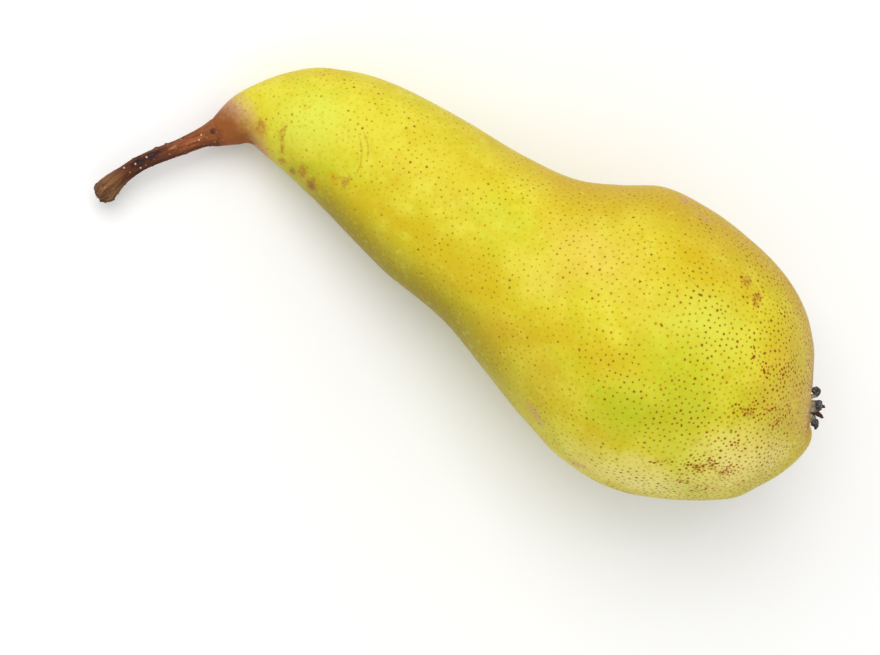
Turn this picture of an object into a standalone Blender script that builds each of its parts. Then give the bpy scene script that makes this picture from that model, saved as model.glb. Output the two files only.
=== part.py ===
"""A long-necked dessert pear with its stem and dried calyx, lying on its side.

The pear is laid out in millimetres in a frame of its own first: x runs from the stem
end to the calyx, y to the outside of its bend and z up. It is then tipped stem end
down until it rests on belly and neck, and set with the middle of its base at the
origin: metres, +Z up, stem towards -X, calyx towards +X.
"""
import bmesh
import bpy
import math
from mathutils import Matrix, Vector

MM = 0.001

# Girth stations from the eye of the calyx to the stem end, mm and degrees. Each is a
# flat cut across the fruit: centre x, centre y, half width, and how far it leans.
GIRTHS = (
    (136.4, -2.7, 1.4, 20.5),      # throat of the eye
    (137.7, -2.2, 2.4, 21.0),
    (138.7, -1.9, 3.6, 21.5),
    (139.2, -1.8, 5.2, 21.8),      # floor of the basin
    (138.3, -1.5, 9.9, 19.5),      # its soft rim
    (136.6, -1.9, 14.6, 15.3),
    (132.8, -2.1, 19.9, 12.5),
    (126.7, -2.2, 25.3, 13.8),
    (116.7, -3.4, 29.5, 11.6),
    (104.5, -4.5, 32.3, 8.7),      # widest girth of the belly
    (93.2, -4.2, 31.6, 6.6),
    (82.8, -4.1, 27.4, 4.2),       # shoulder
    (72.5, -3.2, 23.1, 2.1),
    (59.8, -0.5, 19.9, 0.3),       # waist
    (43.5, 2.0, 18.5, 0.0),
    (26.3, 4.8, 15.7, 0.8),        # neck
    (15.2, 5.1, 12.7, 3.7),
    (7.9, 3.4, 9.5, 11.2),
    (2.9, 1.0, 6.5, 21.7),         # fleshy root of the stem
    (-0.1, -2.3, 5.1, 34.2),
    (-2.4, -6.2, 3.2, 43.6),
)
SKIN_RINGS = 62
SKIN_AROUND = 60
RING_FINE = 40                 # steps per station when the rings are spaced
RING_BY_LENGTH = 0.6           # the rest of the spacing follows the stations
LOBES = (                      # of the basin's rim: bearing and height
    (20.0, 0.80),
    (84.0, 0.25),
    (148.0, 1.50),
    (222.0, 1.20),
    (298.0, 0.90),
)
LOBE_WIDTH = 24.0              # degrees
LOBE_MEAN = 0.35               # height the rim's stations already hold
LOBE_STATION = 3.9             # where the lobes stand highest
LOBE_SPREAD = 1.3              # in stations

# Stem stations from its foot: centre x, y, z and radius. The foot stands 0.3 mm clear
# of the fruit.
STALK = (
    (-2.67, -6.46, 0.0, 2.85),
    (-4.79, -8.47, 0.0, 2.25),
    (-8.1, -12.7, 0.4, 1.85),
    (-11.4, -16.5, 1.1, 1.75),
    (-14.2, -20.0, 1.4, 1.72),
    (-16.3, -23.8, 1.5, 1.80),
    (-17.6, -26.6, 1.5, 2.30),
    (-18.4, -28.5, 1.4, 2.60),     # swollen end where it left the twig
    (-19.0, -29.9, 1.3, 2.05),
    (-19.3, -30.6, 1.3, 0.90),
)
STALK_RINGS = 26
STALK_AROUND = 18

# Dried sepals: bearing round the eye, length, and the lean away from the eye's axis at
# the root and at the tip.
SEPALS = (
    (78.0, 4.4, 5.0, 190.0),
    (150.0, 3.8, 10.0, 140.0),
    (224.0, 4.1, 0.0, 175.0),
    (293.0, 3.7, 12.0, 120.0),
    (6.0, 4.6, 4.0, 205.0),
)
SEPAL_ROOT = (2.3, 2.1)        # off the eye's axis and above its throat
SEPAL_HALF_WIDTHS = (1.30, 1.35, 1.15, 0.80, 0.35)
SEPAL_HALF_THICK = 0.24
SEPAL_RINGS = 12
SEPAL_AROUND = 12

# Dried stamens, given in the same way.
STAMENS = (
    (40.0, 5.2, 0.0, 35.0),
    (118.0, 4.4, 2.0, 55.0),
    (185.0, 5.6, 0.0, 20.0),
    (258.0, 4.7, 2.0, 60.0),
    (325.0, 5.0, 0.0, 40.0),
)
STAMEN_ROOT = (0.85, 0.6)
STAMEN_RADII = (0.26, 0.22, 0.20, 0.20, 0.42, 0.20)    # thread, then shrivelled head
STAMEN_RINGS = 12
STAMEN_AROUND = 8

TURN_GROWTH = 2.0              # sepals and stamens bend more and more towards the tip
STEM_END_DIP = 13.3            # degrees the pear is tipped so that belly and neck rest
PRESSED = 0.45                 # depth of the flats its own weight has pressed


def spline(rows, place):
    """A smooth pass through the rows; place counts rows from the first."""
    low = min(int(place), len(rows) - 2)
    part = place - low
    before = rows[max(low - 1, 0)]
    after = rows[min(low + 2, len(rows) - 1)]
    out = []
    for a, b, c, d in zip(before, rows[low], rows[low + 1], after):
        out.append(0.5 * (2 * b + (c - a) * part + (2 * a - 5 * b + 4 * c - d) * part ** 2
                          + (3 * b - a - 3 * c + d) * part ** 3))
    return out


def leaning(degrees):
    """Axis of a girth cut that leans, and the direction across it."""
    lean = math.radians(degrees)
    return (Vector((math.cos(lean), math.sin(lean), 0)),
            Vector((-math.sin(lean), math.cos(lean), 0)))


def lobe_height(turn):
    """How far the rim stands out towards the calyx at an angle round the fruit."""
    height = -LOBE_MEAN
    for bearing, tall in LOBES:
        off = (math.degrees(turn) - bearing + 180) % 360 - 180
        height += tall * math.exp(-(off / LOBE_WIDTH) ** 2)
    return height


def drawn_ball(name, rings, around, material, collection):
    """A closed solid: a ball drawn out through rings of (centre, side, lift, swell)."""
    bm = bmesh.new()
    steps = len(rings) + 1
    bmesh.ops.create_uvsphere(bm, u_segments=around, v_segments=steps, radius=1.0)
    for vert in bm.verts:
        step = round(math.acos(max(-1.0, min(1.0, vert.co.z))) / math.pi * steps)
        turn = math.atan2(vert.co.y, vert.co.x)
        centre, side, lift, swell = rings[min(max(step, 1), steps - 1) - 1]
        vert.co = centre
        if 0 < step < steps:
            vert.co += side * math.cos(turn) + lift * math.sin(turn)
            vert.co += swell * lobe_height(turn)
    bm.normal_update()
    bmesh.ops.recalc_face_normals(bm, faces=bm.faces)
    mesh = bpy.data.meshes.new(name)
    bm.to_mesh(mesh)
    bm.free()
    mesh.shade_smooth()
    mesh.materials.append(material)
    obj = bpy.data.objects.new(name, mesh)
    collection.objects.link(obj)
    return obj


def fruit_rings():
    """Girth rings, spaced partly by length along the skin and partly by station."""
    last = len(GIRTHS) - 1
    fine = [i / RING_FINE for i in range(last * RING_FINE + 1)]
    run = [0.0]
    for a, b in zip(fine, fine[1:]):
        p, q = spline(GIRTHS, a), spline(GIRTHS, b)
        run.append(run[-1] + math.hypot(q[0] - p[0], q[2] - p[2]))
    spread = [RING_BY_LENGTH * r / run[-1] + (1 - RING_BY_LENGTH) * f / last
              for r, f in zip(run, fine)]
    rings = []
    for ring in range(SKIN_RINGS):
        want = ring / (SKIN_RINGS - 1)
        place = min(range(len(fine)), key=lambda i: abs(spread[i] - want)) / RING_FINE
        x, y, half, lean = spline(GIRTHS, place)
        axis, across = leaning(lean)
        swell = math.exp(-((place - LOBE_STATION) / LOBE_SPREAD) ** 2)
        rings.append((Vector((x, y, 0)), across * half, Vector((0, 0, half)), axis * swell))
    return rings


def stalk_rings():
    """Round rings square to a smooth path through the stem's stations."""
    last = len(STALK) - 1
    rings = []
    for ring in range(STALK_RINGS):
        place = last * ring / (STALK_RINGS - 1)
        x, y, z, radius = spline(STALK, place)
        behind = Vector(spline(STALK, max(place - 0.05, 0))[:3])
        ahead = Vector(spline(STALK, min(place + 0.05, last))[:3])
        along = (ahead - behind).normalized()
        side = Vector((0, 0, 1)).cross(along).normalized()
        rings.append((Vector((x, y, z)), side * radius, along.cross(side) * radius, Vector()))
    return rings


def calyx_rings(bearing, length, lean_root, lean_tip, root, halves, half_thick, count):
    """Rings of one tongue or thread that rises from the eye and bends outwards."""
    axis, across = leaning(GIRTHS[0][3])
    bearing = math.radians(bearing)
    out = across * math.cos(bearing) + Vector((0, 0, 1)) * math.sin(bearing)
    flat = axis.cross(out)
    centre = Vector((*GIRTHS[0][:2], 0)) + out * root[0] + axis * root[1]
    rings = []
    for ring in range(count):
        part = ring / (count - 1)
        lean = math.radians(lean_root + (lean_tip - lean_root) * part ** TURN_GROWTH)
        along = axis * math.cos(lean) + out * math.sin(lean)
        half = spline([(h,) for h in halves], part * (len(halves) - 1))[0]
        thick = min(half_thick, half)
        rings.append((centre.copy(), flat * half, along.cross(flat) * thick, Vector()))
        centre += along * length / (count - 1)
    return rings


def material_of(name, color, roughness):
    mat = bpy.data.materials.new(name)
    mat.use_nodes = True
    shader = mat.node_tree.nodes["Principled BSDF"]
    shader.inputs["Base Color"].default_value = (*color, 1.0)
    shader.inputs["Roughness"].default_value = roughness
    return mat


for old in list(bpy.data.objects):
    bpy.data.objects.remove(old, do_unlink=True)
pear = bpy.data.collections.new("pear")
bpy.context.scene.collection.children.link(pear)

# Fruit: skin and flesh, one grown piece.
skin = material_of("skin", (0.62, 0.60, 0.09), 0.45)
body = drawn_ball("pear_body", fruit_rings(), SKIN_AROUND, skin, pear)

# Woody stem.
bark = material_of("stem_bark", (0.16, 0.065, 0.03), 0.7)
drawn_ball("stem", stalk_rings(), STALK_AROUND, bark, pear)

# Calyx: five curled sepals round a ring of dried stamens.
papery = material_of("dried_sepal", (0.10, 0.085, 0.075), 0.85)
for number, sepal in enumerate(SEPALS, 1):
    rings = calyx_rings(*sepal, SEPAL_ROOT, SEPAL_HALF_WIDTHS, SEPAL_HALF_THICK, SEPAL_RINGS)
    drawn_ball(f"sepal_{number}", rings, SEPAL_AROUND, papery, pear)
thread = material_of("dried_stamen", (0.13, 0.05, 0.03), 0.85)
for number, stamen in enumerate(STAMENS, 1):
    rings = calyx_rings(*stamen, STAMEN_ROOT, STAMEN_RADII, max(STAMEN_RADII), STAMEN_RINGS)
    drawn_ball(f"stamen_{number}", rings, STAMEN_AROUND, thread, pear)

# Tip the stem end down, sink the pear to its pressed depth and press the flats.
tip = Matrix.Rotation(-math.radians(STEM_END_DIP), 4, "Y")
for obj in pear.objects:
    obj.data.transform(tip)
floor = min(vert.co.z for vert in body.data.vertices) + PRESSED
for vert in body.data.vertices:
    vert.co.z = max(vert.co.z, floor)

# Origin under the middle of the whole pear, and millimetres to metres.
every = [vert.co for obj in pear.objects for vert in obj.data.vertices]
middle = [(min(co[i] for co in every) + max(co[i] for co in every)) / 2 for i in (0, 1)]
place = Matrix.Scale(MM, 4) @ Matrix.Translation((-middle[0], -middle[1], -floor))
for obj in pear.objects:
    obj.data.transform(place)
    obj.data.update()
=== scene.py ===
import math
import random

import bmesh
import bpy
from mathutils import Matrix, Vector, kdtree, noise


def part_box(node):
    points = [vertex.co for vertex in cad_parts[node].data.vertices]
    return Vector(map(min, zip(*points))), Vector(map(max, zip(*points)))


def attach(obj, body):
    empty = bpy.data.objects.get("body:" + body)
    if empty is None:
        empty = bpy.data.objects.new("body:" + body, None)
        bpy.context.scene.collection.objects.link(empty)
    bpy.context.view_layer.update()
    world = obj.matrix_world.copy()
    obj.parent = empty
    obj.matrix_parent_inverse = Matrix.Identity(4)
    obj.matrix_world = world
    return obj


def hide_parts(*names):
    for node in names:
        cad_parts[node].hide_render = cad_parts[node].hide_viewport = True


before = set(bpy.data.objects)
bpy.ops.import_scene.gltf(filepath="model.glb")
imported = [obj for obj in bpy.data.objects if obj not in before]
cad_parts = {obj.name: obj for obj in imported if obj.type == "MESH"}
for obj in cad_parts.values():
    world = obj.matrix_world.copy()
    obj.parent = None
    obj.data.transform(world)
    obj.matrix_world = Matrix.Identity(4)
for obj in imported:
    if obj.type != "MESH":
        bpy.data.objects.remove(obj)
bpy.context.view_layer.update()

# --- The fruit ------------------------------------------------------------------------
# Skin over firm flesh, grown as one piece: a long neck that bends into the fleshy root
# of the stem, a round belly, and a shallow basin with soft ribs round the calyx. It lies
# on its side, belly and neck pressed a little flat where they bear on the table.
MM = 0.001
GIRTHS = (                         # centre x, centre y, half width, lean of the cut
    (136.4, -2.7, 1.4, 20.5),      # throat of the eye
    (137.7, -2.2, 2.4, 21.0),
    (138.7, -1.9, 3.6, 21.5),
    (139.2, -1.8, 5.2, 21.8),      # floor of the basin
    (138.3, -1.5, 9.9, 19.5),      # its soft rim
    (136.6, -1.9, 14.6, 15.3),
    (132.8, -2.1, 19.9, 12.5),
    (126.7, -2.2, 25.3, 13.8),
    (116.7, -3.4, 29.5, 11.6),
    (104.5, -4.5, 32.3, 8.7),      # widest girth of the belly
    (93.2, -4.2, 31.6, 6.6),
    (82.8, -4.1, 27.4, 4.2),       # shoulder
    (72.5, -3.2, 23.1, 2.1),
    (59.8, -0.5, 19.9, 0.3),       # waist
    (43.5, 2.0, 18.5, 0.0),
    (26.3, 4.8, 15.7, 0.8),        # neck
    (15.2, 5.1, 12.7, 3.7),
    (7.9, 3.4, 9.5, 11.2),
    (2.9, 1.0, 6.5, 21.7),         # fleshy root of the stem
    (-0.1, -2.3, 5.1, 34.2),
    (-2.4, -6.2, 3.05, 43.6),
)
LAST_GIRTH = len(GIRTHS) - 1
SKIN_RINGS, SKIN_AROUND = 300, 288
RING_FINE = 40
RING_BY_LENGTH = 0.6
LOBES = ((20.0, 0.80), (84.0, 0.25), (148.0, 1.50), (222.0, 1.20), (298.0, 0.90))
LOBE_WIDTH, LOBE_MEAN = 24.0, 0.35     # lobes of the rim: bearing and height
LOBE_GIRTH, LOBE_SPREAD = 3.9, 1.3
STEM_END_DIP = 13.3
PRESSED = 0.45


def spline(rows, place):
    """A smooth pass through the rows; place counts rows from the first."""
    low = min(int(place), len(rows) - 2)
    part = place - low
    before = rows[max(low - 1, 0)]
    after = rows[min(low + 2, len(rows) - 1)]
    return [0.5 * (2 * b + (c - a) * part + (2 * a - 5 * b + 4 * c - d) * part ** 2
                   + (3 * b - a - 3 * c + d) * part ** 3)
            for a, b, c, d in zip(before, rows[low], rows[low + 1], after)]


def leaning(degrees):
    """Axis of a girth cut that leans, and the direction across it."""
    lean = math.radians(degrees)
    return (Vector((math.cos(lean), math.sin(lean), 0)),
            Vector((-math.sin(lean), math.cos(lean), 0)))


def girth_rings(count):
    """Rings of (centre, side, lift, axis, station), closer together at the calyx."""
    fine = [i / RING_FINE for i in range(LAST_GIRTH * RING_FINE + 1)]
    run = [0.0]
    for a, b in zip(fine, fine[1:]):
        p, q = spline(GIRTHS, a), spline(GIRTHS, b)
        run.append(run[-1] + math.hypot(q[0] - p[0], q[2] - p[2]))
    spread = [RING_BY_LENGTH * r / run[-1] + (1 - RING_BY_LENGTH) * f / LAST_GIRTH
              for r, f in zip(run, fine)]
    rings, at = [], 0
    for ring in range(count):
        want = ring / (count - 1)
        while at < len(fine) - 2 and spread[at + 1] < want:
            at += 1
        place = (at + (want - spread[at]) / (spread[at + 1] - spread[at])) / RING_FINE
        x, y, half, lean = spline(GIRTHS, min(place, LAST_GIRTH))
        axis, across = leaning(lean)
        rings.append((Vector((x, y, 0)), across * half, Vector((0, 0, half)), axis, place))
    return rings


def drawn_ball(rings, around):
    """A ball drawn out through rings, with its map and the lie of its grain."""
    bm = bmesh.new()
    steps = len(rings) + 1
    bm.loops.layers.uv.new("OFBake")
    grain = bm.verts.layers.float_vector.new("grain")
    bmesh.ops.create_uvsphere(bm, u_segments=around, v_segments=steps, radius=1.0,
                              calc_uvs=True)
    ring_of = {}
    for vert in bm.verts:
        step = round(math.acos(max(-1.0, min(1.0, vert.co.z))) / math.pi * steps)
        turn = math.atan2(vert.co.y, vert.co.x)
        ring = rings[min(max(step, 1), steps - 1) - 1]
        vert.co = ring[0]
        if 0 < step < steps:
            vert.co += ring[1] * math.cos(turn) + ring[2] * math.sin(turn)
        vert[grain] = (math.cos(turn), math.sin(turn), ring[4])
        ring_of[vert.index] = (ring, turn, step)
    bm.normal_update()
    bmesh.ops.recalc_face_normals(bm, faces=bm.faces)
    bm.normal_update()
    return bm, ring_of


def finished(name, bm, material):
    """A smooth object from a bmesh that already lies in place."""
    mesh = bpy.data.meshes.new(name)
    bm.to_mesh(mesh)
    bm.free()
    mesh.shade_smooth()
    mesh.materials.append(material)
    piece = bpy.data.objects.new(name, mesh)
    bpy.context.scene.collection.objects.link(piece)
    return piece


def lobe_height(turn):
    """How far the rim stands out towards the calyx at an angle round the fruit."""
    height = -LOBE_MEAN
    for bearing, tall in LOBES:
        off = (math.degrees(turn) - bearing + 180) % 360 - 180
        height += tall * math.exp(-(off / LOBE_WIDTH) ** 2)
    return height


DENTS = (       # own x, y and side (1 is the upper), reach, depth
    (15.0, 17.2, 0, 2.6, 0.30),
    (9.6, 12.6, 0, 2.4, -0.28),
    (46.0, 12.0, 1, 7.0, 0.25),
    (88.0, 10.0, 1, 9.0, 0.30),
    (118.0, -16.0, 1, 8.0, 0.30),
    (66.0, -16.0, -1, 9.0, 0.35),
    (110.0, 20.0, -1, 10.0, 0.35),
)
fruit, where = drawn_ball(girth_rings(SKIN_RINGS), SKIN_AROUND)
for vert in fruit.verts:
    (centre, side, lift, axis, place), turn, step = where[vert.index]
    p = vert.co
    swell = math.exp(-((place - LOBE_GIRTH) / LOBE_SPREAD) ** 2)
    broad = 0.20 * noise.noise(p / 17.0) + 0.08 * noise.noise(p / 6.5 + Vector((9, 0, 0)))
    pucker = math.exp(-((LAST_GIRTH - place) / 1.4) ** 2)
    folds = 0.30 * pucker * noise.noise(Vector((2.6 * math.cos(turn), 2.6 * math.sin(turn),
                                                0.5 * place)))
    pleat = math.exp(-((place - 2.6) / 1.1) ** 2)
    folds += 0.50 * pleat * noise.noise(Vector((3.4 * math.cos(turn), 3.4 * math.sin(turn),
                                                0.4 * place + 7)))
    for x, y, upper, reach, depth in DENTS:
        if p.z * upper >= 0:
            off = (p.x - x) ** 2 + (p.y - y) ** 2 + (p.z ** 2 if not upper else 0)
            folds -= depth * math.exp(-off / reach ** 2)
    folds += broad * min(1.0, side.length / 8)
    vert.co = p + axis * swell * lobe_height(turn) + vert.normal * folds

# Lenticels: pores of skin and bark, sealed with cork. They keep a distance from each
# other and crowd into rusty groups on the belly, where some are drawn out to dashes.
RUST_GROUPS = (     # own x, y and reach
    (112.4, 15.0, 1.6), (116.0, 13.2, 1.8), (124.0, 0.5, 2.0), (122.7, -9.4, 1.9),
    (125.2, -8.4, 2.0), (128.7, -6.7, 1.8), (128.5, 4.1, 1.8), (125.6, -16.0, 1.5),
    (121.1, -23.4, 2.2), (123.6, -21.6, 2.2), (126.9, -21.8, 2.4), (118.9, -24.5, 1.4),
)


def crowding(spot):
    """How much the pores of the skin crowd together at a spot, from 0 to 1."""
    late = max(0.0, min(1.0, (spot.x - 90.0) / 30.0))
    crowd = 0.9 * late * max(0.0, min(1.0, 4.5 * (noise.noise(spot / 5.0) - 0.30)))
    for x, y, reach in RUST_GROUPS:
        if spot.z > 0:
            crowd = max(crowd, math.exp(-((spot.x - x) ** 2 + (spot.y - y) ** 2) / reach ** 2))
    return crowd


def skin_pore_gap(spot):
    late = max(0.0, min(1.0, (spot.x - 96.0) / 34.0))
    return (1.30 - 0.34 * late) * (1.0 - 0.45 * crowding(spot))


def skin_pore_look(spot, rng):
    """Radius, strength, redness and half length of one pore of the skin."""
    middle = max(0.0, min(1.0, (spot.x - 20.0) / 40.0))
    late = max(0.0, min(1.0, (spot.x - 80.0) / 36.0))
    crowd = crowding(spot)
    field = min(1.0, max(0.45, 0.80 + 0.9 * noise.noise(spot / 9.0)))
    strength = (0.22 + 0.18 * middle + 0.22 * late + 0.60 * rng.random() ** 1.5) * field
    radius = (0.15 + 0.050 * late) * rng.uniform(0.75, 1.25)
    half = 0.0
    if rng.random() < 0.05 + 0.07 * late + 0.3 * crowd:
        radius, strength = radius * 1.35, strength + 0.35
    if rng.random() < 0.015 * late + 0.23 * crowd:
        half, strength = rng.uniform(0.10, 0.22 + 0.14 * crowd), strength + 0.1
    red = max(0.0, min(1.0, 0.60 * late + 0.6 * crowd + rng.uniform(-0.35, 0.35)))
    return radius, min(1.0, strength + 0.2 * crowd), red, half


def scatter_pores(bm, seed, widest, gap_at, look_at):
    """Scatter pores over the mesh, and store on each face the one nearest to it."""
    rng, taken, pores = random.Random(seed), {}, []
    for face in rng.sample(list(bm.faces), len(bm.faces)) * 2:
        weights = [rng.random() for vert in face.verts]
        spot = sum((vert.co * share for vert, share in zip(face.verts, weights)), Vector())
        spot /= sum(weights)
        home = [math.floor(value / widest) for value in spot]
        gap = min(widest, gap_at(spot) * rng.uniform(0.80, 1.20))
        near = (taken.get((home[0] + i, home[1] + j, home[2] + k), ())
                for i in (-1, 0, 1) for j in (-1, 0, 1) for k in (-1, 0, 1))
        if any((other - spot).length < gap for some in near for other in some):
            continue
        taken.setdefault(tuple(home), []).append(spot)
        radius, strength, red, half = look_at(spot, rng)
        way = face.normal.cross(Vector([rng.gauss(0.0, 1.0) for axis in "xyz"])).normalized()
        pores.append((spot, (radius, strength, red), way * half))
    finder = kdtree.KDTree(3 * len(pores))
    for number, (spot, look, way) in enumerate(pores):
        for share in (-1, 0, 1) if way.length > 0 else (0,):
            finder.insert(spot + way * share, number)
    finder.balance()
    layers = [bm.faces.layers.float_vector.new(name)
              for name in ("pore", "pore_look", "pore_way")]
    for face in bm.faces:
        number = finder.find(face.calc_center_median())[1]
        for layer, value in zip(layers, pores[number]):
            face[layer] = value
    return pores


scatter_pores(fruit, 11, 1.6, skin_pore_gap, skin_pore_look)

tip = Matrix.Rotation(-math.radians(STEM_END_DIP), 4, "Y")
low = [min((tip @ vert.co)[i] for vert in fruit.verts) for i in range(3)]
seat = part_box("pear_body")[0] / MM - Vector(low) - Vector((0, 0, PRESSED))
lay = Matrix.Scale(MM, 4) @ Matrix.Translation(seat) @ tip      # own millimetres to world
crown = [vert.co.copy() for vert in fruit.verts if vert.co.z > 0]
fruit.transform(lay)
for vert in fruit.verts:
    vert.co.z = max(vert.co.z, 0.0)


def put(tree, kind, inputs, out=0, **settings):
    """Add a node, set it and its inputs, and hand back one of its outputs."""
    node = tree.nodes.new("ShaderNode" + kind)
    for name, value in settings.items():
        setattr(node, name, value)
    for key, value in inputs.items():
        if isinstance(value, bpy.types.NodeSocket):
            tree.links.new(value, node.inputs[key])
        else:
            node.inputs[key].default_value = value
    return node.outputs[out]


def calc(tree, operation, *values, clamp=False):
    return put(tree, "Math", dict(enumerate(values)), operation=operation, use_clamp=clamp)


def times(tree, *values):
    """Product of two or more numbers."""
    product = values[0]
    for value in values[1:]:
        product = calc(tree, "MULTIPLY", product, value)
    return product


def plus(tree, *values):
    """Sum of two or more numbers."""
    total = values[0]
    for value in values[1:]:
        total = calc(tree, "ADD", total, value)
    return total


def vector(tree, operation, first, second=(0.0, 0.0, 0.0), out=0, **inputs):
    return put(tree, "VectorMath", {0: first, 1: second, **inputs}, out=out,
               operation=operation)


def blend(tree, share, below, above):
    """One colour over another."""
    def colour(value):
        return value if isinstance(value, bpy.types.NodeSocket) else (*value, 1.0)
    return put(tree, "Mix", {0: share, 6: colour(below), 7: colour(above)}, out=2,
               data_type="RGBA")


def fade(tree, value, start, end, low=0.0, high=1.0):
    """Smooth change from low to high as the value goes from start to end."""
    return put(tree, "MapRange", {0: value, 1: start, 2: end, 3: low, 4: high},
               interpolation_type="SMOOTHSTEP")


def clouds(tree, place, per_mm, detail=3.0, rough=0.5, warp=0.0):
    return put(tree, "TexNoise", {"Vector": place, "Scale": per_mm, "Detail": detail,
                                  "Roughness": rough, "Distortion": warp})


def own_millimetres(tree):
    """Object coordinates turned back into the pear's own frame, in millimetres."""
    back = lay.inverted()
    spot = put(tree, "TexCoord", {}, out=3)
    return put(tree, "Mapping", {"Vector": spot, "Location": back.to_translation(),
                                 "Rotation": back.to_euler(),
                                 "Scale": back.to_scale()})


def bent_place(tree, place, per_mm, amount, detail=2.0):
    """The place pushed about by noise."""
    push = put(tree, "TexNoise", {"Vector": place, "Scale": per_mm, "Detail": detail}, out=1)
    push = vector(tree, "SUBTRACT", push, (0.5, 0.5, 0.5))
    push = vector(tree, "SCALE", push, Scale=amount)
    return vector(tree, "ADD", place, push)


def kept(tree, name):
    """A vector that the mesh stores under a name."""
    return put(tree, "Attribute", {}, out=1, attribute_name=name)


def parts(tree, triple):
    """The three numbers of a vector."""
    return put(tree, "SeparateXYZ", {0: triple}).node.outputs


def new_material(name, **constants):
    material = bpy.data.materials.new(name)
    material.use_nodes = True
    tree = material.node_tree
    shader = tree.nodes["Principled BSDF"]
    for key, value in constants.items():
        shader.inputs[key.replace("_", " ")].default_value = value
    return material, tree, shader


def new_group(name, inputs, outputs):
    """A node group with (name, kind, start value) inputs and named number outputs."""
    group = bpy.data.node_groups.new(name, "ShaderNodeTree")
    for label, kind, value in inputs:
        socket = group.interface.new_socket(label, in_out="INPUT", socket_type=kind)
        if value is not None:
            socket.default_value = value
    for label in outputs:
        group.interface.new_socket(label, in_out="OUTPUT", socket_type="NodeSocketFloat")
    arriving, leaving = (group.nodes.new("NodeGroup" + end) for end in ("Input", "Output"))
    return group, arriving.outputs, leaving.inputs


def place_group(tree, group, **inputs):
    """Put a group in a material and hand back its outputs."""
    node = tree.nodes.new("ShaderNodeGroup")
    node.node_tree = group
    for key, value in inputs.items():
        if isinstance(value, bpy.types.NodeSocket):
            tree.links.new(value, node.inputs[key])
        else:
            node.inputs[key].default_value = value
    return node.outputs


# The corky pores, drawn round the nearest one that the mesh stores: how much cork there
# is, the stain round it, and how red it is.
cork, cork_in, cork_out = new_group(
    "corky pores",
    [("Place", "NodeSocketVector", None), ("Ragged", "NodeSocketFloat", 0.2),
     ("Soft", "NodeSocketFloat", 0.1), ("Stain", "NodeSocketFloat", 3.0)],
    ["Mask", "Halo", "Red"])
radius, strength, red = parts(cork, kept(cork, "pore_look"))
way = kept(cork, "pore_way")
ragged_place = bent_place(cork, cork_in["Place"], 3.0, cork_in["Ragged"], 1.0)
away = vector(cork, "SUBTRACT", ragged_place, kept(cork, "pore"))
along = calc(cork, "DIVIDE", vector(cork, "DOT_PRODUCT", away, way, out=1),
             vector(cork, "DOT_PRODUCT", way, way, out=1))
along = calc(cork, "MAXIMUM", calc(cork, "MINIMUM", along, 1.0), -1.0)
off = vector(cork, "DISTANCE", away, vector(cork, "SCALE", way, Scale=along), out=1)
for name, inner, outer in (
        ("Mask", times(cork, radius, 0.6), plus(cork, radius, cork_in["Soft"])),
        ("Halo", radius, times(cork, radius, cork_in["Stain"]))):
    amount = put(cork, "MapRange", {0: off, 1: inner, 2: outer, 3: strength, 4: 0.0},
                 interpolation_type="SMOOTHSTEP")
    cork.links.new(amount, cork_out[name])
cork.links.new(red, cork_out["Red"])

# A soft-edged patch: one tinted area, scar or rub mark at a known spot. The place it is
# given has already been bent by noise, so that its edge comes out ragged.
patch, patch_in, patch_out = new_group(
    "patch",
    [("Place", "NodeSocketVector", None), ("Centre", "NodeSocketVector", None),
     ("Turn", "NodeSocketVector", None), ("Reach", "NodeSocketVector", None),
     ("Hard", "NodeSocketFloat", 0.0), ("Strength", "NodeSocketFloat", 1.0)],
    ["Mask"])
away = vector(patch, "SUBTRACT", patch_in["Place"], patch_in["Centre"])
away = put(patch, "VectorRotate", {"Vector": away, "Rotation": patch_in["Turn"]},
           rotation_type="EULER_XYZ")
away = vector(patch, "DIVIDE", away, patch_in["Reach"])
mask = put(patch, "MapRange", {0: vector(patch, "LENGTH", away, out=1),
                               1: patch_in["Hard"], 2: 1.0,
                               3: patch_in["Strength"], 4: 0.0},
           interpolation_type="SMOOTHSTEP")
patch.links.new(mask, patch_out["Mask"])


def on_top(points, x, y):
    """The upper one of the points that lie over a spot of the pear's own plan."""
    return min(points, key=lambda co: (co.x - x) ** 2 + (co.y - y) ** 2)


def patch_mask(tree, place, centre, reach, turned, strength, hard=0.0):
    """A patch on a material, turned about the pear's own upright."""
    return place_group(tree, patch, Place=place, Centre=centre, Reach=reach,
                       Turn=(0.0, 0.0, math.radians(-turned)), Hard=hard,
                       Strength=strength)["Mask"]


BUTTER = (0.70, 0.62, 0.045)
LEMON = (0.62, 0.54, 0.020)
LIME = (0.53, 0.55, 0.018)
PALE_LIME = (0.66, 0.68, 0.070)
LEAF = (0.42, 0.50, 0.012)
OLIVE = (0.26, 0.195, 0.003)
GOLD = (0.60, 0.42, 0.008)
AMBER = (0.54, 0.32, 0.010)
PEACH = (0.72, 0.56, 0.085)
PALE = (0.90, 0.79, 0.26)
TAN = (0.56, 0.35, 0.085)
ROSY_TAN = (0.53, 0.30, 0.18)
PINK = (0.55, 0.28, 0.15)
RUSSET = (0.42, 0.17, 0.020)
RUST = (0.30, 0.065, 0.006)
DRAB = (0.22, 0.145, 0.010)
BARK_BROWN = (0.27, 0.085, 0.022)

skin, tree, shader = new_material("waxy skin", Subsurface_Weight=0.06,
                                  Subsurface_Scale=0.002, IOR=1.42,
                                  Specular_IOR_Level=0.12)
shader.inputs["Subsurface Radius"].default_value = (1.0, 0.75, 0.2)
place = own_millimetres(tree)
x_mm, y_mm, z_mm = parts(tree, place)
grain = kept(tree, "grain")
across, upward, girth = parts(tree, grain)      # cosine and sine of the turn round the fruit
soft_place = bent_place(tree, place, 0.11, 9.0)
torn_place = bent_place(tree, place, 0.75, 2.4)

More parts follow.
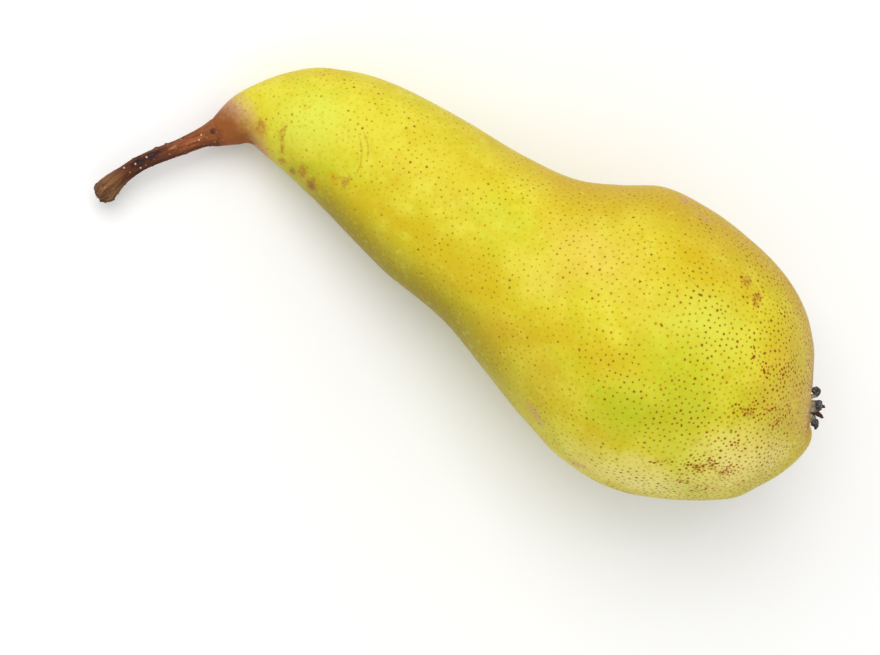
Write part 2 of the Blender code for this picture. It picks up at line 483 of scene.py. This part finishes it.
wide = clouds(tree, place, 0.045, 3.0, 0.55, 0.4)
middling = clouds(tree, place, 0.16, 4.0, 0.6, 0.3)
fine = clouds(tree, place, 0.55, 4.0, 0.6)
speckle = clouds(tree, place, 1.7, 3.0, 0.65)
colour = blend(tree, fade(tree, middling, 0.35, 0.66), LEMON, BUTTER)
colour = blend(tree, fade(tree, wide, 0.50, 0.66, 0.0, 0.5), colour, GOLD)
green = times(tree, fade(tree, wide, 0.50, 0.34), fade(tree, middling, 0.62, 0.40, 0.3, 1.0))
colour = blend(tree, times(tree, green, 0.45), colour, LIME)
colour = blend(tree, fade(tree, upward, 0.2, -0.7, 0.0, 0.35), colour, LEAF)

TINTS_AND_PAINTED_LIGHT = (       # colour, own x and y, reach along and across, turn, strength
    (BUTTER, 27, 9, 17, 8, 0, 0.80),
    (BUTTER, 44, 8, 22, 8, -4, 0.6),
    (PALE_LIME, 15, 5, 14, 12, 10, 1.00),
    (LIME, 25, -2, 12, 6, 12, 0.50),
    (LEAF, 19, -6, 10, 4, 24, 0.45),
    (LIME, 61, 5, 13, 6, 0, 0.50),
    (GOLD, 42, -6, 24, 5, 4, 0.75),
    (GOLD, 60, -9, 18, 8, 4, 0.80),
    (PEACH, 82, 6, 18, 11, -8, 0.75),
    (PEACH, 74, -3, 12, 7, -8, 0.4),
    (GOLD, 82, -12, 15, 7, 4, 0.75),
    (AMBER, 72, -17, 16, 6, 8, 0.65),
    (AMBER, 84, -21, 12, 6, 10, 0.45),
    (GOLD, 94, -12, 10, 7, 0, 0.70),
    (PALE_LIME, 108, 3, 17, 10, 4, 0.85),
    (LIME, 108, -7, 18, 12, 0, 0.85),
    (LEAF, 104, -20, 18, 9, 8, 0.70),
    (LEAF, 113, -14, 13, 8, -20, 0.45),
    (PALE_LIME, 119, -23, 14, 7, 4, 0.65),
    (GOLD, 102, 15, 10, 5, -10, 0.80),
    (GOLD, 96, 22, 18, 6, -6, 0.60),
    (GOLD, 125, 6, 8, 10, 0, 0.65),
    (AMBER, 127, -4, 6, 7, 0, 0.40),
    # The three pale patches on the lower rim of the belly and at the calyx end are painted light:
    # bounce light from the table and soft highlights put into the skin's colour.
    (PALE, 112, -32, 26, 7, 8, 0.75),
    (PALE, 129, -20, 15, 15, 0, 0.80),
    (PALE, 135, -15, 5, 6, 0, 0.60),
)
for tint, at_x, at_y, long, broad, turned, strength in TINTS_AND_PAINTED_LIGHT:
    mask = patch_mask(tree, soft_place, on_top(crown, at_x, at_y), (long, broad, 16),
                      turned, strength)
    colour = blend(tree, mask, colour, tint)
outer_edge = times(tree, fade(tree, across, 0.50, 0.97), fade(tree, x_mm, 30.0, 84.0, 0.15, 0.85))
colour = blend(tree, outer_edge, colour, AMBER)
# Along the lower flank of the neck the skin goes olive: partly its own colour, partly painted
# shade that darkens that flank.
olive_and_shade_edge = times(tree, fade(tree, across, -0.50, -1.0),
                   fade(tree, x_mm, 100.0, 58.0), fade(tree, x_mm, 12.0, 28.0, 0.25, 0.9))
colour = blend(tree, olive_and_shade_edge, colour, OLIVE)
colour = blend(tree, fade(tree, fine, 0.50, 0.72, 0.0, 0.40), colour, GOLD)
colour = blend(tree, fade(tree, fine, 0.46, 0.30, 0.0, 0.30), colour, PALE_LIME)
colour = blend(tree, fade(tree, speckle, 0.56, 0.72, 0.0, 0.16), colour, OLIVE)

# Towards the calyx the skin goes tan and russet, in streaks that run out of the eye, and
# the wax crackles finely.
streaks = clouds(tree, vector(tree, "MULTIPLY", grain, (5.0, 5.0, 0.35)), 1.0, 4.0, 0.6)
hairs = clouds(tree, vector(tree, "MULTIPLY", grain, (30.0, 30.0, 1.2)), 1.0, 2.0, 0.7, 0.6)
calyx_end = times(tree, fade(tree, x_mm, 120.0, 138.0), fade(tree, across, -0.75, 0.15, 0.25, 1.0))
colour = blend(tree, times(tree, calyx_end, fade(tree, fine, 0.30, 0.62, 0.45, 0.95)),
               colour, TAN)
from_eye = vector(tree, "DISTANCE", place, (*GIRTHS[3][:2], 0), out=1)
near_eye = fade(tree, plus(tree, from_eye, times(tree, streaks, -14.0)), 10.5, -0.5)
# The russet is thinned on the lower rim, so that it stays pale there as part of the painted
# highlight.
russet_thinned_on_lit_rim = fade(tree, across, -0.95, -0.3, 0.2, 0.9)
colour = blend(tree, times(tree, near_eye, russet_thinned_on_lit_rim), colour, RUSSET)
crackle = times(tree, fade(tree, hairs, 0.52, 0.66), fade(tree, from_eye, 22.0, 10.0, 0.0, 0.5))
colour = blend(tree, crackle, colour, PALE)

# The fleshy root of the stem wears brown russet, rosy where it thins out on the neck.
from_tip = vector(tree, "DISTANCE", place, (*GIRTHS[-1][:2], 0), out=1)
torn = times(tree, plus(tree, fine, -0.5), 5.0)
tilted = plus(tree, from_tip, times(tree, across, 1.9), torn)
root = fade(tree, tilted, 11.0, 5.0)
root_tan = fade(tree, plus(tree, tilted, times(tree, plus(tree, speckle, -0.5), 5.0)),
                13.8, 8.2, 0.0, 0.92)
rosy = blend(tree, fade(tree, across, -0.6, 0.4), TAN, ROSY_TAN)
colour = blend(tree, root_tan, colour, rosy)
colour = blend(tree, root, colour, BARK_BROWN)
crease = fade(tree, plus(tree, from_tip, times(tree, plus(tree, fine, -0.5), 2.0)), 4.2, 2.8)
colour = blend(tree, times(tree, crease, fade(tree, across, 0.6, -0.2, 0.1, 0.5)), colour,
               (0.16, 0.035, 0.018))

# Old rub marks and corky scars, broken up by the grain of the skin.
MARKS = (       # colour, own x and y, reach along and across, turn, strength
    (RUSSET, 6.3, -1.4, 2.6, 2.6, 0, 0.80),
    (RUSSET, 11.4, -0.3, 1.1, 2.8, 10, 0.90),
    (RUSSET, 12.6, -3.2, 0.9, 2.0, 10, 0.75),
    (RUSSET, 18.8, -5.6, 1.2, 2.6, 0, 0.85),
    (BARK_BROWN, 21.2, -7.4, 1.4, 2.6, 0, 0.85),
    (RUSSET, 13.6, -5.6, 1.6, 0.9, 20, 0.70),
    (BARK_BROWN, 16.7, -6.5, 1.4, 0.8, 20, 0.70),
    (TAN, 20.0, -6.6, 0.6, 1.0, 0, 0.80),
    (AMBER, 25.5, -4.0, 1.8, 1.5, 0, 0.85),
    (RUSSET, 27.9, -3.8, 1.4, 2.3, 0, 0.65),
    (PINK, 8.2, -5.4, 6.5, 1.6, 28, 0.85),
    (BARK_BROWN, 13.5, 15.2, 0.45, 0.45, 0, 0.9),
    (PINK, 94.3, 25.6, 2.6, 1.0, -14, 0.85),
    (PINK, 99.2, 24.0, 3.4, 0.9, -18, 0.55),
    (OLIVE, 102.6, 9.4, 3.4, 0.5, -24, 0.40),
    (OLIVE, 90.2, 13.1, 2.2, 0.45, -10, 0.30),
    (RUST, 112.5, 15.2, 1.6, 1.9, 0, 0.55),
    (RUST, 116.1, 13.0, 1.2, 2.4, 0, 0.60),
    (RUST, 125.0, -8.6, 2.2, 1.8, 0, 0.35),
    (RUST, 121.1, -23.6, 1.9, 1.1, 10, 0.70),
    (RUST, 123.8, -21.9, 1.5, 0.9, 10, 0.60),
    (RUST, 126.9, -22.6, 1.2, 1.2, 0, 0.50),
    (PINK, 138.0, 1.2, 1.3, 2.6, 0, 0.70),
    (PINK, 86.5, -29.5, 5.0, 1.3, -34, 0.70),
    (PINK, 99.0, -35.0, 4.5, 1.0, 10, 0.70),
    (RUSSET, 112.3, -35.6, 4.0, 1.0, -6, 0.60),
)
broken = fade(tree, clouds(tree, place, 1.15, 3.0, 0.6), 0.38, 0.56, 0.35, 1.0)
for tint, at_x, at_y, long, broad, turned, strength in MARKS:
    mask = patch_mask(tree, torn_place, on_top(crown, at_x, at_y), (long, broad, 4),
                      turned, strength, hard=0.3)
    colour = blend(tree, times(tree, mask, broken), colour, tint)

# Two curved scratches on the neck.
SCRATCHES = (       # centre x, y and radius of the curve, spot it passes, how far it shows
    (20.2, -0.82, 9.42, 28.9, 2.6, 5.8),
    (20.2, -0.82, 10.75, 29.2, 5.6, 3.8),
)
scratched = bent_place(tree, place, 0.9, 0.7)
for centre_x, centre_y, bend, at_x, at_y, reach in SCRATCHES:
    flat = vector(tree, "MULTIPLY", scratched, (1.0, 1.0, 0.0))
    line = vector(tree, "DISTANCE", flat, (centre_x, centre_y, 0.0), out=1)
    line = fade(tree, calc(tree, "ABSOLUTE", plus(tree, line, -bend)), 0.34, 0.05, 0.0, 0.55)
    mask = patch_mask(tree, place, on_top(crown, at_x, at_y), (reach, reach, 6), 0, 1.0, 0.5)
    colour = blend(tree, times(tree, line, mask, broken), colour, (0.40, 0.27, 0.02))

pores = place_group(tree, cork, Place=place, Ragged=0.22, Soft=0.11, Stain=3.2)
colour = blend(tree, times(tree, pores["Halo"], 0.22), colour, AMBER)
colour = blend(tree, pores["Mask"], colour, blend(tree, pores["Red"], DRAB, RUST))

tree.links.new(colour, shader.inputs["Base Color"])
rough = plus(tree, 0.38, times(tree, fine, 0.14), times(tree, pores["Mask"], 0.2))
dry = times(tree, calc(tree, "MAXIMUM", root, near_eye), 0.64)
tree.links.new(calc(tree, "MAXIMUM", rough, dry), shader.inputs["Roughness"])
peel = clouds(tree, place, 1.3, 3.0, 0.6)
height = plus(tree, times(tree, peel, 0.035), times(tree, pores["Mask"], 0.045),
              times(tree, crackle, 0.05), times(tree, dry, speckle, 0.12))
bump = put(tree, "Bump", {"Height": height, "Distance": MM, "Strength": 0.7})
tree.links.new(bump, shader.inputs["Normal"])

skin_piece = finished("pear_skin", fruit, skin)
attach(skin_piece, "root")
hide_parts("pear_body")

# --- The stem ---------------------------------------------------------------------------
# A woody stalk that grows out of the neck's fleshy root and bends down to the swollen
# end where it parted from the twig. Its bark is dry, wrinkled lengthwise and dotted.
STALK = (
    (-1.2, -5.0, 0.0, 2.98),       # sunk in the root, so that no gap shows
    (-2.67, -6.46, 0.0, 3.02),
    (-4.70, -8.60, 0.0, 2.12),
    (-8.1, -12.8, 0.4, 1.78),
    (-11.4, -16.5, 1.1, 1.70),
    (-14.2, -20.0, 1.4, 1.66),
    (-16.3, -23.8, 1.5, 1.78),
    (-17.5, -26.6, 1.5, 2.28),
    (-18.1, -28.4, 1.4, 2.55),     # swollen end
    (-18.5, -29.7, 1.3, 2.15),
    (-18.8, -30.4, 1.3, 1.10),
)
STALK_RINGS, STALK_AROUND = 320, 96
KNOB_RUN = 27.0                    # how far along the stalk its rough end starts
RIDGES = ((-9.3, -13.7, 1.3, 0.34), (-12.6, -18.4, 0.9, 0.16), (-7.6, -11.0, 0.8, 0.16))
TAN_DOTS = ((-4.9, -9.4), (-5.0, -8.3), (-13.2, -17.9), (-14.7, -20.3), (-16.6, -22.2),
            (-13.4, -20.6))


def tube_rings(stations, count):
    """Round rings square to a smooth path through stations of (x, y, z, radius)."""
    last = len(stations) - 1
    rings, run, before = [], 0.0, None
    for ring in range(count):
        place = last * ring / (count - 1)
        x, y, z, radius = spline(stations, place)
        behind = Vector(spline(stations, max(place - 0.05, 0))[:3])
        ahead = Vector(spline(stations, min(place + 0.05, last))[:3])
        along = (ahead - behind).normalized()
        side = Vector((0, 0, 1)).cross(along).normalized()
        centre = Vector((x, y, z))
        run += (centre - before).length if before else 0.0
        before = centre
        rings.append((centre, side * radius, along.cross(side) * radius, along, run))
    return rings


def bark_pore_gap(spot):
    return 2.3


def bark_pore_look(spot, rng):
    """Radius, strength, redness and half length of one pore of the bark."""
    return rng.uniform(0.10, 0.17), rng.uniform(0.2, 0.8), rng.random(), 0.0


stalk, where = drawn_ball(tube_rings(STALK, STALK_RINGS), STALK_AROUND)
top_line = [vert.co.copy() for vert in stalk.verts if where[vert.index][1] > 0]
dots = [on_top([co for co in top_line], x, y) for x, y in TAN_DOTS]
for vert in stalk.verts:
    (centre, side, lift, along, run), turn, step = where[vert.index]
    c, s = math.cos(turn), math.sin(turn)
    grown = min(1.0, run / 4.0)
    grooves = 0.15 * noise.noise(Vector((2.3 * c, 2.3 * s, 0.10 * run)))
    grooves += 0.08 * noise.noise(Vector((6.0 * c, 6.0 * s, 0.25 * run + 5)))
    grooves += 0.03 * noise.noise(Vector((14.0 * c, 14.0 * s, 0.7 * run + 9)))
    warts = 0.5 * max(0.0, noise.noise(Vector((1.8 * c, 1.8 * s, run)) * 1.1
                                       + Vector((4, 4, 4))) - 0.35)
    for x, y, half, tall in RIDGES:
        off = Vector((vert.co.x - x, vert.co.y - y, 0))
        length, breadth = off.dot(along) / half, (off - along * off.dot(along)).length / 0.5
        warts += tall * math.exp(-length ** 2 - breadth ** 2) * (s > 0)
    for dot in dots:
        warts += 0.13 * math.exp(-(vert.co - dot).length_squared / 0.22 ** 2)
    end = max(0.0, min(1.0, (run - KNOB_RUN) / 3.0))
    fibres = abs(noise.noise(Vector((4.2 * c, 4.2 * s, 0.5 * run)))) - 0.2
    rough = end * (0.55 * fibres + 0.35 * noise.noise(vert.co * 0.9)
                   + 0.26 * noise.noise(vert.co * 2.6) + 0.10 * noise.noise(vert.co * 5.5))
    vert.co += vert.normal * (grown * (grooves + warts) + rough)
scatter_pores(stalk, 5, 2.4, bark_pore_gap, bark_pore_look)
stalk.transform(lay)

bark, tree, shader = new_material("dry bark", IOR=1.45, Specular_IOR_Level=0.18)
place = own_millimetres(tree)
grain = kept(tree, "grain")
across, upward, run_mm = parts(tree, grain)
fibres = clouds(tree, vector(tree, "MULTIPLY", grain, (3.0, 3.0, 0.22)), 1.0, 5.0, 0.65, 0.6)
threads = clouds(tree, vector(tree, "MULTIPLY", grain, (9.0, 9.0, 0.5)), 1.0, 4.0, 0.7, 0.4)
blotches = clouds(tree, place, 0.28, 4.0, 0.6, 0.5)
torn_place = bent_place(tree, place, 0.9, 1.6)
colour = blend(tree, fade(tree, fibres, 0.35, 0.65), (0.062, 0.016, 0.007),
               (0.15, 0.044, 0.016))
young = blend(tree, fade(tree, fibres, 0.35, 0.65), (0.150, 0.036, 0.010),
              (0.33, 0.100, 0.035))
colour = blend(tree, fade(tree, plus(tree, run_mm, times(tree, fibres, 6.0)), 18.5, 12.0),
               colour, young)
colour = blend(tree, fade(tree, threads, 0.58, 0.70, 0.0, 0.40), colour, (0.32, 0.125, 0.045))
colour = blend(tree, fade(tree, blotches, 0.55, 0.70, 0.0, 0.85), colour, (0.025, 0.011, 0.012))
colour = blend(tree, fade(tree, run_mm, 7.0, 1.0, 0.0, 0.8), colour, BARK_BROWN)
# Painted shade: the lower side of the stalk, turned away from the lamp, is darkened in its colour.
colour = blend(tree, fade(tree, across, 0.2, 0.95, 0.0, 0.6), colour, (0.045, 0.012, 0.006))
worn = times(tree, fade(tree, run_mm, 22.0, 29.0), fade(tree, fibres, 0.38, 0.60, 0.25, 0.95))
colour = blend(tree, worn, colour, (0.23, 0.11, 0.040))
knob = fade(tree, run_mm, KNOB_RUN, KNOB_RUN + 2.0)
colour = blend(tree, times(tree, knob, fade(tree, threads, 0.50, 0.40, 0.0, 0.85)), colour,
               (0.045, 0.022, 0.014))
BARK_MARKS = (      # colour, own x and y, reach along and across, turn, strength
    ((0.014, 0.009, 0.014), -12.2, -17.0, 3.0, 1.2, 52, 1.0),
    ((0.014, 0.009, 0.014), -14.2, -19.9, 2.6, 1.4, 52, 1.0),
    ((0.030, 0.010, 0.014), -2.9, -6.3, 1.1, 0.8, 52, 0.9),
    ((0.12, 0.03, 0.016), -1.2, -7.0, 2.2, 0.7, -24, 0.7),
    ((0.50, 0.24, 0.09), -9.3, -13.7, 1.5, 0.45, 52, 0.75),
)
ragged = fade(tree, threads, 0.40, 0.54, 0.25, 1.0)
for tint, at_x, at_y, long, broad, turned, strength in BARK_MARKS:
    mask = patch_mask(tree, torn_place, on_top(top_line, at_x, at_y), (long, broad, 2),
                      turned, strength, hard=0.3)
    colour = blend(tree, times(tree, mask, ragged), colour, tint)
for dot in dots:
    mask = patch_mask(tree, place, dot, (0.29, 0.29, 0.5), 0, 1.0, 0.3)
    colour = blend(tree, mask, colour, (0.72, 0.46, 0.24))
pores = place_group(tree, cork, Place=place, Ragged=0.15, Soft=0.08, Stain=2.2)
colour = blend(tree, times(tree, pores["Halo"], 0.3), colour, (0.10, 0.03, 0.015))
colour = blend(tree, pores["Mask"], colour, (0.58, 0.33, 0.15))
tree.links.new(colour, shader.inputs["Base Color"])
tree.links.new(fade(tree, fibres, 0.3, 0.7, 0.72, 0.48), shader.inputs["Roughness"])
height = plus(tree, times(tree, fibres, 0.22), times(tree, threads, 0.16),
              times(tree, pores["Mask"], 0.08))
tree.links.new(put(tree, "Bump", {"Height": height, "Distance": MM, "Strength": 0.8}),
               shader.inputs["Normal"])

stem_piece = finished("stem_bark", stalk, bark)
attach(stem_piece, "root")
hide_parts("stem")

# --- The sepals -------------------------------------------------------------------------
# Five tongues of the old flower, dried to curled grey scales. Their beige feet stand in
# a ring as a little cup round the eye, and their tips roll outwards.
SEPALS = (      # bearing round the eye, length, lean at the root and at the tip
    (70.0, 4.5, 0.0, 215.0),
    (148.0, 4.2, 16.0, 140.0),
    (214.0, 4.3, 0.0, 200.0),
    (286.0, 4.0, 10.0, 160.0),
    (356.0, 5.2, 14.0, 400.0),
)
SEPAL_ROOT = (2.3, 1.7)
SEPAL_HALF_WIDTHS = (1.45, 1.55, 1.40, 1.15, 0.75)
SEPAL_HALF_THICK = 0.34
SEPAL_RINGS, SEPAL_AROUND = 64, 48
TURN_GROWTH = 4.4
TIP_SWELL = 0.35


def calyx_rings(bearing, length, lean_root, lean_tip, root, halves, half_thick, count):
    """Rings of one tongue or thread that rises from the eye and bends outwards."""
    axis, across = leaning(GIRTHS[0][3])
    bearing = math.radians(bearing)
    out = across * math.cos(bearing) + Vector((0, 0, 1)) * math.sin(bearing)
    flat = axis.cross(out)
    centre = Vector((*GIRTHS[0][:2], 0)) + out * root[0] + axis * root[1]
    rings = []
    for ring in range(count):
        part = ring / (count - 1)
        lean = math.radians(lean_root + (lean_tip - lean_root) * part ** TURN_GROWTH)
        along = axis * math.cos(lean) + out * math.sin(lean)
        half = spline([(h,) for h in halves], part * (len(halves) - 1))[0]
        thick = min(half_thick * (1 + TIP_SWELL * part ** 3), half)
        rings.append((centre.copy(), flat * half, along.cross(flat) * thick, along,
                      part * length))
        centre += along * length / (count - 1)
    return rings


papery, tree, shader = new_material("dried sepal", IOR=1.4, Specular_IOR_Level=0.3)
place = own_millimetres(tree)
grain = kept(tree, "grain")
run_mm = parts(tree, grain)[2]
veins = clouds(tree, vector(tree, "MULTIPLY", grain, (4.0, 4.0, 0.5)), 1.0, 4.0, 0.6)
fuzz = clouds(tree, place, 3.2, 4.0, 0.7)
colour = blend(tree, fade(tree, plus(tree, run_mm, times(tree, veins, 1.6)), 2.5, 3.9),
               (0.52, 0.43, 0.26), (0.070, 0.066, 0.070))
colour = blend(tree, fade(tree, veins, 0.50, 0.66, 0.0, 0.7), colour, (0.016, 0.013, 0.014))
grey = times(tree, fade(tree, fuzz, 0.50, 0.64), fade(tree, run_mm, 1.2, 2.6, 0.25, 0.8))
colour = blend(tree, grey, colour, (0.36, 0.36, 0.38))
tree.links.new(colour, shader.inputs["Base Color"])
tree.links.new(fade(tree, fuzz, 0.3, 0.7, 0.65, 0.92), shader.inputs["Roughness"])
height = plus(tree, times(tree, veins, 0.25), times(tree, fuzz, 0.25))
tree.links.new(put(tree, "Bump", {"Height": height, "Distance": MM, "Strength": 0.8}),
               shader.inputs["Normal"])

for number, sepal in enumerate(SEPALS, 1):
    rings = calyx_rings(*sepal, SEPAL_ROOT, SEPAL_HALF_WIDTHS, SEPAL_HALF_THICK, SEPAL_RINGS)
    scale, where = drawn_ball(rings, SEPAL_AROUND)
    for vert in scale.verts:
        (centre, side, lift, along, run), turn, step = where[vert.index]
        c = math.cos(turn) if 0 < step <= len(rings) else 0.0
        cup = lift.normalized() * (0.42 * c * c * side.length)
        wave = 0.26 * noise.noise(Vector((2.0 * c, 0.9 * run, 5.0 * number)))
        crinkle = 0.14 * noise.noise(vert.co * 2.2) + 0.09 * noise.noise(vert.co * 5.0)
        vert.co += cup + vert.normal * crinkle + lift.normalized() * wave
    scale.transform(lay)
    piece = finished(f"sepal_scale_{number}", scale, papery)
    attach(piece, "root")
    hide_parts(f"sepal_{number}")

# --- The stamens ------------------------------------------------------------------------
# What is left of the flower's stamens: thin dry threads with shrivelled heads, standing
# up out of the throat of the eye.
STAMENS = (
    (40.0, 6.4, 0.0, 18.0),
    (118.0, 5.4, 2.0, 45.0),
    (185.0, 6.6, 0.0, 50.0),
    (258.0, 5.6, 2.0, 50.0),
    (325.0, 6.1, 0.0, 30.0),
)
STAMEN_ROOT = (0.85, 0.2)
STAMEN_RADII = (0.34, 0.28, 0.24, 0.26, 0.52, 0.30)

wiry, tree, shader = new_material("dried stamen", IOR=1.4, Specular_IOR_Level=0.3)
place = own_millimetres(tree)
run_mm = parts(tree, kept(tree, "grain"))[2]
mottle = clouds(tree, place, 2.4, 4.0, 0.65)
colour = blend(tree, fade(tree, mottle, 0.4, 0.6), (0.085, 0.028, 0.020), (0.20, 0.075, 0.050))
colour = blend(tree, fade(tree, run_mm, 4.2, 5.2, 0.0, 0.7), colour, (0.055, 0.016, 0.014))
tree.links.new(colour, shader.inputs["Base Color"])
tree.links.new(fade(tree, mottle, 0.3, 0.7, 0.6, 0.85), shader.inputs["Roughness"])
tree.links.new(put(tree, "Bump", {"Height": mottle, "Distance": 0.3 * MM, "Strength": 0.8}),
               shader.inputs["Normal"])

for number, stamen in enumerate(STAMENS, 1):
    rings = calyx_rings(*stamen, STAMEN_ROOT, STAMEN_RADII, 0.6, 44)
    thread, where = drawn_ball(rings, 20)
    for vert in thread.verts:
        run = where[vert.index][0][4]
        vert.co += vert.normal * 0.14 * noise.noise(vert.co * 2.4)
        vert.co += 0.25 * noise.noise_vector(Vector((0.7 * run, 3.0 * number, 0)))
    thread.transform(lay)
    piece = finished(f"stamen_thread_{number}", thread, wiry)
    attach(piece, "root")
    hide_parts(f"stamen_{number}")

# --- The table and the light ------------------------------------------------------------
# A plain pale table top under soft, even studio light: a bright room all round, and one
# broad lamp overhead.
table = bmesh.new()
bmesh.ops.create_grid(table, x_segments=1, y_segments=1, size=3.0)
white, tree, shader = new_material("pale table", Roughness=0.6)
shade = clouds(tree, put(tree, "TexCoord", {}, out=3), 40.0, 2.0)
tree.links.new(blend(tree, shade, (0.90, 0.90, 0.895), (0.92, 0.92, 0.915)),
               shader.inputs["Base Color"])
table_top = finished("table_top", table, white)

VIEW_TURN = 26.88                  # degrees the pear's length slopes across the view
LENS = 100.0
VIEW_WIDTH = 191.3                 # mm of the pear's plane that the view takes in
VIEW_CENTRE = (60.0, -22.1)        # own x and y in the middle of the view
turn = math.radians(VIEW_TURN)
right = Vector((math.cos(turn), math.sin(turn), 0))
up = Vector((-math.sin(turn), math.cos(turn), 0))
back = Vector((0, 0, 1))
view = tip.to_3x3() @ Matrix((right, up, back)).transposed()

world = bpy.data.worlds.new("studio")
bpy.context.scene.world = world
world.use_nodes = True
ground = world.node_tree.nodes["Background"]
ground.inputs["Color"].default_value = (1.0, 1.0, 1.0, 1.0)
heading = put(world.node_tree, "TexCoord", {}, out=0)
lit_side = (view @ Vector((0.2, 0.3, 0.9))).normalized()
facing = put(world.node_tree, "VectorMath", {0: heading, 1: lit_side}, out=1,
             operation="DOT_PRODUCT")
glow = put(world.node_tree, "MapRange", {0: facing, 1: -1.0, 2: 1.0, 3: 0.55, 4: 0.85})
world.node_tree.links.new(glow, ground.inputs["Strength"])


def lamp(name, towards, distance, size, power):
    """A square soft lamp that looks at the belly from a direction of the view."""
    light = bpy.data.lights.new(name, "AREA")
    light.size, light.energy = size, power
    holder = bpy.data.objects.new(name, light)
    bpy.context.scene.collection.objects.link(holder)
    way = (view @ Vector(towards)).normalized()
    holder.location = lay @ Vector((80, 0, 0)) + way * distance
    holder.rotation_euler = way.to_track_quat("Z", "Y").to_euler()
    return holder


lamp("key", (-0.05, 0.35, 1.0), 0.9, 0.6, 4.2)

# --- The camera -------------------------------------------------------------------------
# It looks down on the lying pear, square to its length, with the stem at upper left.
camera = bpy.data.cameras.new("camera")
camera.lens, camera.sensor_width = LENS, 36.0
camera.clip_start, camera.clip_end = 0.01, 20.0
viewer = bpy.data.objects.new("camera", camera)
bpy.context.scene.collection.objects.link(viewer)
distance = VIEW_WIDTH * LENS / camera.sensor_width
viewer.rotation_euler = view.to_euler()
viewer.location = lay @ Vector((*VIEW_CENTRE, distance))
bpy.context.scene.camera = viewer
bpy.context.scene.view_settings.view_transform = "Standard"
